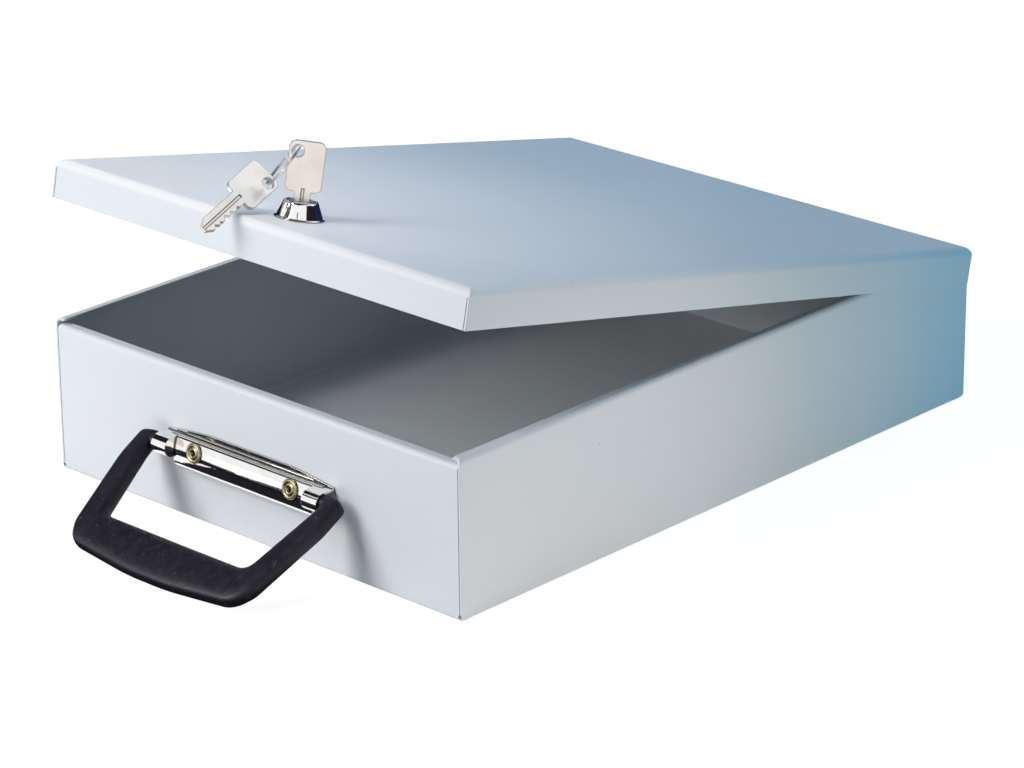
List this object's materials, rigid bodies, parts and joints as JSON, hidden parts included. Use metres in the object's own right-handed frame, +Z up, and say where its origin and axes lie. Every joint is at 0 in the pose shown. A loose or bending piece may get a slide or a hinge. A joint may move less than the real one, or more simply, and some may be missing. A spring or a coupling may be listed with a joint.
{
  "type": "lockable document box",
  "caption": "Flat sheet-steel document box with a hinged lid held ajar, a loop carry handle on its narrow front wall, and a cam lock with a key and a spare key on a ring.",
  "frame": {"origin": "centre of the tray's flat underside, on the surface it rests on", "axes": "+Z up; -Y towards the handle; +Y towards the hinge; X along the box's width"},
  "size_m": [0.2528, 0.4085, 0.1738],
  "materials": {
    "paint": "satin powder coat, pale blue-grey",
    "chrome": "bright chrome plate",
    "black_plastic": "satin black moulding",
    "brass": "yellow passivated",
    "steel": "zinc plated",
    "zinc": "die-cast, nickel plated",
    "nickel": "nickel plated, polished"
  },
  "bodies": {
    "tray": {"tray_shell": "paint", "hinge_leaf_tray": "paint", "hinge_pin": "steel", "handle_bracket": "chrome", "handle_rivets": "brass", "backing_washers": "steel", "lock_keeper": "steel"},
    "handle": {"handle_grip": "black_plastic"},
    "lid": {"lid_shell": "paint", "hinge_leaf_lid": "paint", "lock_cap": "chrome", "lock_housing": "zinc", "lock_nut": "steel"},
    "plug": {"lock_plug": "zinc", "lock_wafers": "brass", "stop_washer": "steel", "lock_cam": "steel", "cam_washer": "steel", "cam_screw": "steel", "key_in_lock": "nickel"},
    "ring": {"key_ring": "steel"},
    "spare": {"spare_key": "nickel"}
  },
  "joints": [
    {"name": "lid_hinge", "type": "hinge", "parent": "tray", "child": "lid", "pos_m": [0, 0.1719, 0.065], "axis": [-1, 0, 0], "range_deg": [-12, 83]},
    {"name": "handle_pivot", "type": "hinge", "parent": "tray", "child": "handle", "pos_m": [0, -0.177, 0.0352], "axis": [-1, 0, 0], "range_deg": [0, 112]},
    {"name": "lock_turn", "type": "hinge", "parent": "lid", "child": "plug", "pos_m": [0, -0.13712, 0.14019], "axis": [0, 0.2079, 0.9781], "range_deg": [0, 45]},
    {"name": "ring_swing", "type": "hinge", "parent": "plug", "child": "ring", "pos_m": [-0.00283, -0.1339, 0.16895], "axis": [-0.2634, 0.8815, 0.3918], "range_deg": [0, 45]},
    {"name": "spare_swing", "type": "hinge", "parent": "ring", "child": "spare", "pos_m": [-0.01524, -0.14073, 0.1528], "axis": [-0.7516, 0.613, -0.2437], "range_deg": [0, 45]}
  ]
}
